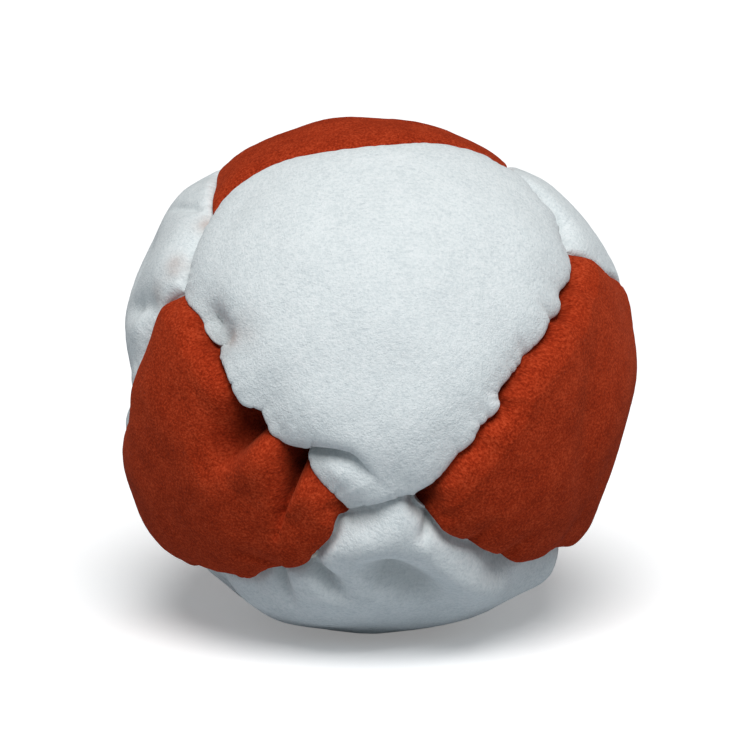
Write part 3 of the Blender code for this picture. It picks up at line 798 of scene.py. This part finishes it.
left_folds = (
    # The hollow that runs out from its lower corner, over a fold that catches the light
    fold_along(((-60, 22.5), (-67, 21), (-74, 19), (-85, 16.5)), 1.00, 1.3, 1.4, (0.1, 0.9, 1.0, 0.1)),
    fold_along(((-66, 17), (-70, 15.5), (-77, 14)), -0.20, 2.2, 2.0, (0.0, 1.0, 0.4)),
    # The thin crease from its upper corner
    fold_along(((-66, 45), (-74, 44), (-84, 42), (-94, 39)), 0.45, 0.5, 0.6, (0.3, 1.0, 1.0, 0.3)),
    fold_along(((-62, 14), (-70, 8), (-82, 2), (-96, -3)), 0.70, 1.6, 2.6, (0.6, 1.0, 0.8, 0.0)),
    fold_along(((-150, -14), (-140, -4), (-128, 2)), 0.70, 1.2, 1.8, (1.0, 0.7, 0.0)),
    fold_along(((-125, 50), (-122, 40), (-116, 32)), 0.60, 1.3, 1.8, (1.0, 0.7, 0.0)),
)
left_dents = ((-68, 31, 2.4, 0.35), (-110, 15, 3.5, 0.4), (-135, 25, 3.0, -0.4))
left_smudges = ((-60, 31, 0.8, 0.8), (-62.5, 42.5, 0.7, 0.7), (-64, 24, 0.8, 0.4))
make_panel("white_left", white_suede, 56, left_folds, left_dents, left_smudges)

# White base panel
# The six-sided panel that the bag stands on, pressed flat where it touches the ground. Under the front
# panel's tip it swells over a hollow, and two creases run in from its left-hand seam.

base_folds = (
    # The narrow gaps under the edges of the two red panels
    fold_along([(east + 0.7, north - 0.8) for east, north in SEEN_BENDS["white_base", "red_left"]], 1.20,
               0.45, 0.45, (0.6, 1.0, 1.0, 0.4, 0.2)),
    fold_along([(east - 0.6, north - 0.9) for east, north in SEEN_BENDS["white_base", "red_right"]], 1.30,
               0.45, 0.45, (1.0, 1.0, 0.8, 0.3, 0.2)),
    # Two creases that run in from the seam with the left-hand red panel
    fold_along(((-29, -35), (-29, -40), (-28, -49)), 2.40, 0.8, 0.8, (1.0, 0.9, 0.1)),
    fold_along(((-20, -33), (-14, -40), (-7, -47)), 2.00, 1.5, 0.8, (0.9, 1.0, 0.1)),
    # A pinch that the right-hand seam pulls in
    fold_along(((14.5, -20.5), (13, -23), (11, -26.5)), 1.80, 0.5, 0.6, (1.0, 0.9, 0.0)),
    # The hollow across the middle
    fold_along(((-5, -34), (4, -36), (14, -42), (24, -49)), 2.60, 2.0, 3.2, (0.3, 1.0, 1.0, 0.3)),
    # The swelling above it, and its shoulder along the right-hand seam
    fold_along(((-14, -29), (-9, -26), (-3, -25), (4, -25), (9, -27)), -0.70, 2.8, 3.4,
               (0.6, 1.0, 1.0, 0.8, 0.4)),
    fold_along(((14, -29), (19, -34), (26, -39), (40, -45)), -1.05, 2.8, 1.8, (0.7, 1.0, 1.0, 0.7)),
    fold_along(((100, -42), (80, -52), (60, -60)), 0.80, 1.4, 2.0, (1.0, 0.7, 0.0)),
    fold_along(((-165, -56), (-150, -62), (-120, -68)), 0.60, 1.4, 1.4, (1.0, 0.7, 0.0)),
)
base_dents = ((38, -36, 1.3, -1.4), (-13, -32, 1.8, 0.3))
make_panel("white_base", white_suede, 66, base_folds, base_dents)

# Red top panel
# A three-sided panel of split suede, dyed red before it is cut and sewn in like the white ones. Little
# presses on it, so it is the smoothest of the eight.

red_top_folds = (
    fold_along(((118, 52), (122, 60), (128, 68)), 0.60, 1.2, 1.6, (1.0, 0.7, 0.0)),
    fold_along(((-150, 40), (-145, 52), (-130, 64)), 0.50, 1.4, 1.4, (1.0, 0.7, 0.0)),
)
make_panel("red_top", red_suede, 50, red_top_folds)

# Red right panel
# A second red triangle. It dives under the front panel's rolled edge, stands up in a soft crest beside it,
# and is gathered into short creases by its bottom seam.

red_right_folds = (
    # The narrow gap under the front panel's edge
    fold_along([(east + 0.9, north - 0.9) for east, north in SEEN_BENDS["white_front", "red_right"]], 1.35,
               0.55, 0.55, (0.5, 1.0, 0.8, 1.0, 0.9, 1.0)),
    # The crest along the seam with the front panel, and the slack behind it
    fold_along(((59, 27), (49, 22), (39.5, 15), (29.5, 6), (22.5, -1), (16.5, -9), (14, -13)), -0.80, 3.4,
               1.0, (0.2, 0.8, 1.0, 1.0, 1.0, 0.9, 0.5)),
    # The soft line where its right-hand part turns away
    fold_along(((61, 19), (55, 8), (53, -3), (55, -16), (64, -32)), 0.60, 3.2, 2.0,
               (0.1, 0.8, 1.0, 1.0, 0.6)),
    # The wedge at its left-hand tip
    fold_along(((8, -14.5), (11, -17), (14.5, -20)), 2.60, 1.5, 1.2, (1.0, 1.0, 0.4)),
    # Short creases at the bottom seam
    fold_along(((24, -29), (26, -25), (29, -20)), 0.80, 0.9, 0.9, (1.0, 0.6, 0.0)),
    fold_along(((36, -34.5), (38, -30), (41, -26)), 0.80, 0.8, 1.0, (1.0, 0.6, 0.0)),
    fold_along(((43.5, 21.5), (46, 17), (50, 13)), 0.45, 0.7, 0.7, (1.0, 0.5, 0.0)),
    fold_along(((60, -37), (63, -30), (66, -20), (68, -8)), 0.35, 1.8, 1.8, (1.0, 1.0, 0.8, 0.0)),
    fold_along(((104, 3), (96, 0), (88, -2)), 0.60, 1.2, 1.6, (1.0, 0.7, 0.0)),
)
red_right_dents = ((10.6, -15.6, 1.2, -2.0),)
make_panel("red_right", red_suede, 50, red_right_folds, red_right_dents)

# Red left panel
# The slackest red triangle. Its seam with the front panel pulls in a broad valley and a narrow fold by its
# tip, with a mound of filling between them.

red_left_folds = (
    # The narrow gap under the front panel's edge
    fold_along([(east - 0.6, north - 0.6) for east, north in SEEN_BENDS["white_front", "red_left"][:13]],
               0.90, 0.45, 0.45, (0.3, 1.0, 0.8, 1.0)),
    # The broad valley that the seam pulls in, whose upper side slopes down under the edge of a mound
    fold_along(((-23.5, 2.5), (-27, -1), (-30.5, -4.5), (-34, -7.5), (-38, -10), (-42, -12)), 5.60, 1.7,
               3.4, (1.0, 0.92, 0.68, 0.38, 0.12, 0.0), lip=0.8),
    fold_along(((-20, -1), (-24, -5), (-28, -10), (-32, -15)), -1.05, 2.0, 1.8, (0.6, 1.0, 0.7, 0.0)),
    fold_along(((-27, 9), (-33, 7), (-41, 4)), -0.60, 1.4, 2.4, (0.5, 1.0, 0.0)),
    # The narrow fold by the tip, whose edge lips over it
    fold_along(((-14.3, -3.5), (-15.8, -6.5), (-17.2, -10), (-18.7, -14), (-20.7, -18.5), (-23, -24)), 5.60,
               0.60, 1.50, (1.0, 1.0, 0.95, 0.65, 0.30, 0.1), lip=0.35, narrowing=0.65),
    fold_along(((-16, -18), (-19, -22), (-21, -27)), 0.40, 0.9, 1.1, (0.3, 1.0, 0.2)),
    fold_along(((-37.5, 17.3), (-42, 16), (-47, 14.5)), 0.90, 0.8, 0.6, (1.0, 0.7, 0.0)),
    # The tip, tucked in
    fold_along(((-5, -17.6), (-8, -17.9), (-11.5, -18.2)), 0.90, 0.8, 0.8, (1.0, 0.8, 0.0)),
    # The flap by the bottom seam
    fold_along(((-27, -34), (-33, -32), (-40, -31)), 0.50, 0.8, 1.2, (0.8, 1.0, 0.0)),
)
make_panel("red_left", red_suede, 60, red_left_folds)

# Red back panel
# The red triangle at the back, of the same leather. The seams gather it into a few short folds, as they do
# the others.

red_back_folds = (
    fold_along(((150, -14), (158, -20), (168, -24)), 0.80, 1.2, 1.4, (1.0, 0.7, 0.0)),
    fold_along(((-150, -20), (-160, -18), (-172, -14)), 0.60, 1.2, 1.2, (1.0, 0.7, 0.0)),
    fold_along(((-165, -54), (-163, -46), (-165, -38)), 0.60, 1.0, 1.4, (1.0, 0.7, 0.0)),
)
make_panel("red_back", red_suede, 50, red_back_folds)

# Stitching
# Each seam is a running stitch of waxed three-ply thread, which passes through every needle hole of both
# allowances and lies inside the bag between them. Its ends are left free past the last holes.

THREAD_RADIUS = 0.25 * MM
THREAD_ASIDE = ALLOWANCE_INSET + LEATHER_THICKNESS + 0.3 * MM + THREAD_RADIUS
THREAD_DEPTH = HOLE_TOP + 0.65 * (HOLE_BOTTOM - HOLE_TOP)
THREAD_TAIL = 0.8 * MM
THREAD_BEND = 0.35 * MM
THREAD_SIDES = 12
RING_SPACING = 0.14 * MM  # of the mesh along the thread
PLY_TURN = 1.3 * MM  # length of thread in which a ply goes once round


def make_thread_material():
    """Waxed polyester thread: three plies twisted hard, so smooth fibres with a soft gloss and dark lines
    between plies. The plies are in the mesh, and their fibres of 0.02 mm are drawn as a fine grain of about
    0.1 mm."""
    material, shader = new_material("waxed_polyester_thread", Roughness=0.5)
    place = add_node(material, "TexCoord").outputs["Object"]
    grain = add_node(material, "TexNoise", {"Vector": place, "Scale": 9000.0, "Detail": 2.0}).outputs[0]
    colour = add_node(material, "ValToRGB", {"Fac": grain}, ramp=((0.3, "c9c4b6"), (0.7, "e6e2d6")))
    bump = add_node(material, "Bump", {"Height": grain, "Strength": 0.5, "Distance": 0.02 * MM})
    material.node_tree.links.new(colour.outputs[0], shader.inputs["Base Color"])
    material.node_tree.links.new(bump.outputs[0], shader.inputs["Normal"])
    return material


def make_thread(pair, seam, material):
    """A tube along the thread's path, whose corners are rounded by arcs. Its outline has three lobes, one a
    ply: radius = 0.25 mm (0.9 + 0.1 cos 3 (angle - twist)), where the twist grows by a turn over each
    PLY_TURN."""
    here, along = at_travel(seam["hidden"], seam["holes"])
    aside = np.cross(here, along)
    centres = here * (form_radius(here, CAD_SWELLINGS + SEAM_DIPS) - THREAD_DEPTH)[:, None]
    hand = np.where(np.arange(len(here)) % 2 == 0, 1.0, -1.0)[:, None] * THREAD_ASIDE
    corners = np.stack([centres + aside * hand, centres - aside * hand], axis=1).reshape(-1, 3)
    tails = corners[0] + along[0] * THREAD_TAIL, corners[-1] - along[-1] * THREAD_TAIL
    corners = np.concatenate([[tails[0]], corners, [tails[1]]])
    steps = unit(np.diff(corners, axis=0))
    before = (corners[1:-1] - steps[:-1] * THREAD_BEND)[:, None]
    after = (corners[1:-1] + steps[1:] * THREAD_BEND)[:, None]
    share = np.linspace(0, 1, 7)[None, :, None]
    arcs = before * (1 - share) ** 2 + corners[1:-1, None] * 2 * share * (1 - share) + after * share**2
    line = np.concatenate([corners[:1], arcs.reshape(-1, 3), corners[-1:]])
    marks = np.concatenate([[0.0], np.cumsum(np.linalg.norm(np.diff(line, axis=0), axis=1))])
    travel = np.linspace(0, marks[-1], round(marks[-1] / RING_SPACING))
    line = np.stack([np.interp(travel, marks, line[:, i]) for i in range(3)], axis=-1)
    forward = unit(np.gradient(line, axis=0))
    right = unit(np.cross(forward, unit(line)))
    up = np.cross(right, forward)
    angles = np.linspace(0, 2 * np.pi, THREAD_SIDES, endpoint=False)
    lobes = 0.9 + 0.1 * np.cos(3 * (angles[None] - travel[:, None] / PLY_TURN * 2 * np.pi))
    out = right[:, None] * np.cos(angles)[None, :, None] + up[:, None] * np.sin(angles)[None, :, None]
    rings = line[:, None] + out * (lobes * THREAD_RADIUS)[..., None]
    grid = np.arange(len(rings) * THREAD_SIDES).reshape(-1, THREAD_SIDES)
    beside = np.roll(grid, -1, axis=1)
    quads = np.stack([grid[:-1], grid[1:], beside[1:], beside[:-1]], axis=-1).reshape(-1, 4)
    faces = [quads, grid[:1], grid[-1:, ::-1]]
    name = f"thread_{pair[0]}_to_{pair[1]}"
    places = rings.reshape(-1, 3) + CENTRE
    piece = make_mesh_piece(name + "_twisted", places, faces, material)
    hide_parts(name)


thread_material = make_thread_material()
for pair, seam in SEAMS.items():
    make_thread(pair, seam, thread_material)

# Pellet filling
# Some 1750 moulded plastic pellets, each about 3 mm across, poured in before the last seam is closed. They
# lie loose and give the bag its slack, lumpy form.

PELLET_RADIUS = 1.5 * MM
PELLET_FLATNESS = 0.8  # of a pellet's height to its width
PELLET_SPACING = 3.25 * MM
PELLET_SHAKE = 0.35 * MM
PELLET_MARGIN = LEATHER_THICKNESS + PELLET_RADIUS + 0.25 * MM
RAW_EDGE_GAP = 0.3 * MM  # between a raw edge and the pellets under it
LATTICE_REACH = 14  # steps of the lattice to each side
PUSH_ROUNDS = 12
LIMIT_WAYS = 12000
LIMIT_BATCH = 1500  # ways worked out at a time


def pellet_limits():
    """Ways spread evenly over the sphere on a spiral, and how far from the centre a pellet may lie along
    each. That is where a ball of the pellet's margin first touches any point of the panels' outsides round
    about, and by a seam it is under the raw edges too."""
    number = np.arange(LIMIT_WAYS) + 0.5
    rise = np.arccos(1 - 2 * number / LIMIT_WAYS)
    turn = np.pi * (1 + np.sqrt(5)) * number
    ways = np.stack([np.cos(turn) * np.sin(rise), np.sin(turn) * np.sin(rise), np.cos(rise)], axis=-1)
    outsides = np.stack([surface(panel, ways, *shape)[0] for panel, shape in PANEL_SHAPES.items()])
    lowest = np.argmin(np.linalg.norm(outsides, axis=-1), axis=0)
    points = outsides[lowest, np.arange(LIMIT_WAYS)]
    limits = []
    for start in range(0, LIMIT_WAYS, LIMIT_BATCH):
        ahead = ways[start:start + LIMIT_BATCH] @ points.T
        beside = np.maximum(np.sum(points**2, axis=1) - ahead**2, 0)
        touch = ahead - np.sqrt(np.maximum(PELLET_MARGIN**2 - beside, 0))
        limits.append(np.min(touch + (beside > PELLET_MARGIN**2) + (ahead < 0), axis=1))
    limit = np.concatenate(limits)
    form = form_radius(ways, CAD_SWELLINGS + SEAM_DIPS)
    for seam in SEAMS.values():
        _, aside, past, _ = nearest(ways, seam["hidden"])
        under = np.hypot(aside, past) < THREAD_ASIDE + THREAD_RADIUS + PELLET_RADIUS
        limit = np.where(under, np.minimum(limit, form - RAW_EDGE - PELLET_RADIUS - RAW_EDGE_GAP), limit)
    return ways.astype(np.float32), limit.astype(np.float32)


def make_pellets(material):
    """One mesh of pellets. Each stands at a point of a close-packed lattice, turned and shaken out of line,
    then those too close push each other apart a few times. A pellet is a squashed ball of 8 by 4 faces,
    turned anyhow."""
    random = np.random.default_rng(11)
    ways, limit = pellet_limits()
    steps = np.arange(-LATTICE_REACH, LATTICE_REACH + 1)
    i, j, k = (axis.ravel() for axis in np.meshgrid(steps, steps, steps))
    even = (i + j + k) % 2 == 0
    places = np.stack([i[even], j[even], k[even]], axis=-1) * PELLET_SPACING / np.sqrt(2)
    turn = np.linalg.qr(random.normal(size=(3, 3)))[0]
    places = places @ turn + random.normal(size=places.shape) * PELLET_SHAKE
    places = places[np.linalg.norm(places, axis=1) < BALL_RADIUS * 1.1].astype(np.float32)
    places = places[np.linalg.norm(places, axis=1) < limit[np.argmax(places @ ways.T, axis=1)]]
    for _ in range(PUSH_ROUNDS):
        apart = places[:, None] - places[None]
        distance = np.sqrt(np.sum(apart**2, axis=-1)) + 1e-9
        push = np.maximum(2 * PELLET_RADIUS - distance, 0) / distance
        np.fill_diagonal(push, 0)
        places = places + (apart * push[..., None]).sum(axis=1) * 0.4
        reach = np.linalg.norm(places, axis=1)
        places = places * np.minimum(1, limit[np.argmax(places @ ways.T, axis=1)] / reach)[:, None]
    rise = np.radians([67, 22, -22, -67])[:, None]
    angle = np.linspace(0, 2 * np.pi, 8, endpoint=False)
    body = [np.cos(rise) * np.cos(angle), np.cos(rise) * np.sin(angle), np.repeat(np.sin(rise), 8, axis=1)]
    body = np.stack(body, axis=-1).reshape(-1, 3) * PELLET_RADIUS * [1.0, 1.0, PELLET_FLATNESS]
    grid = np.arange(32).reshape(4, 8)
    beside = np.roll(grid, -1, axis=1)
    quads = np.stack([grid[1:], beside[1:], beside[:-1], grid[:-1]], axis=-1).reshape(-1, 4)
    caps = np.stack([grid[0], grid[-1, ::-1]])
    turns = np.linalg.qr(random.normal(size=(len(places), 3, 3)))[0]
    turns[np.linalg.det(turns) < 0] *= -1
    points = np.einsum("pij,vj->pvi", turns, body) + places[:, None]
    shifts = (np.arange(len(places)) * len(body))[:, None, None]
    faces = [(quads[None] + shifts).reshape(-1, 4), (caps[None] + shifts).reshape(-1, 8)]
    piece = make_mesh_piece("pellets", points.reshape(-1, 3) + CENTRE, faces, material)
    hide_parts("pellet_filling")


# Natural polyethylene, moulded: milky and a little waxy, so light passes half a millimetre into it
pellet_plastic, _ = new_material(
    "natural_polyethylene", Base_Color=linear("dcdfdc"), Roughness=0.35, Subsurface_Weight=0.3,
    Subsurface_Radius=(1.0, 1.0, 1.0), Subsurface_Scale=0.5 * MM)
make_pellets(pellet_plastic)

# Floor, light and camera
# A pale paper floor, one broad soft lamp over the front, a faint one from the right and a little room light.
# The camera stands 12 degrees above the level of the ball, 14 ball radii away.

floor_mesh = bpy.data.meshes.new("floor")
floor_mesh.from_pydata([(-3, -3, 0), (3, -3, 0), (3, 3, 0), (-3, 3, 0)], [], [(0, 1, 2, 3)])
floor = bpy.data.objects.new("floor", floor_mesh)
bpy.context.scene.collection.objects.link(floor)
paper = bpy.data.materials.new("white_paper")
paper.use_nodes = True
path = add_node(paper, "LightPath")
seen_paper = add_node(paper, "BsdfDiffuse", {"Color": linear("ffffff")})
glow = add_node(paper, "Emission", {"Strength": 0.25})
white_paper = add_node(paper, "AddShader", {0: seen_paper.outputs[0], 1: glow.outputs[0]})
dim_paper = add_node(paper, "BsdfDiffuse", {"Color": linear("b8bec4")})
either = add_node(paper, "MixShader", {0: path.outputs["Is Camera Ray"], 1: dim_paper.outputs[0],
                                       2: white_paper.outputs[0]})
paper.node_tree.links.new(either.outputs[0], paper.node_tree.nodes["Material Output"].inputs["Surface"])
floor_mesh.materials.append(paper)

world = bpy.data.worlds.new("room")
bpy.context.scene.world = world
world.use_nodes = True
world_path = add_node(world, "LightPath")
sky = world.node_tree.nodes["Background"]
sky.inputs["Color"].default_value = (0.85, 0.94, 1.0, 1.0)
sky.inputs["Strength"].default_value = 0.08
white_sky = add_node(world, "Background", {"Color": (1.0, 1.0, 1.0, 1.0), "Strength": 1.0})
both = add_node(world, "MixShader", {0: world_path.outputs["Is Camera Ray"], 1: sky.outputs[0],
                                     2: white_sky.outputs[0]})
world.node_tree.links.new(both.outputs[0], world.node_tree.nodes["World Output"].inputs["Surface"])


def set_up(name, data, place, out, right):
    """Puts a lamp or the camera in the scene at a place, turned to look against the way out, with that unit
    vector to its right."""
    holder = bpy.data.objects.new(name, data)
    bpy.context.scene.collection.objects.link(holder)
    axes = right, np.cross(out, right), out
    holder.matrix_world = [(*axis, 0.0) for axis in axes] + [(*place, 1.0)]
    return holder


for name, energy, spread, out in (("soft_lamp", 2.9, 35, way(3, 57)), ("fill_lamp", 0.16, 50, way(88, 10))):
    lamp = bpy.data.lights.new(name, "SUN")
    lamp.energy = energy
    lamp.angle = np.radians(spread)
    set_up(name, lamp, out * 2, out, unit(np.cross([0.0, 0.0, 1.0], out)))

camera_data = bpy.data.cameras.new("camera")
camera_data.lens = 174.3
camera_data.sensor_width = 36.0
camera_data.shift_x = 0.5 / 750  # pixels of a frame of 750 by 750
camera_data.shift_y = 2.0 / 750
back = way(0, 12)
bpy.context.scene.camera = set_up("camera", camera_data, CENTRE + back * 14 * BALL_RADIUS, back,
                                  np.array([1.0, 0.0, 0.0]))
bpy.context.scene.view_settings.view_transform = "Standard"

bpy.context.view_layer.update()
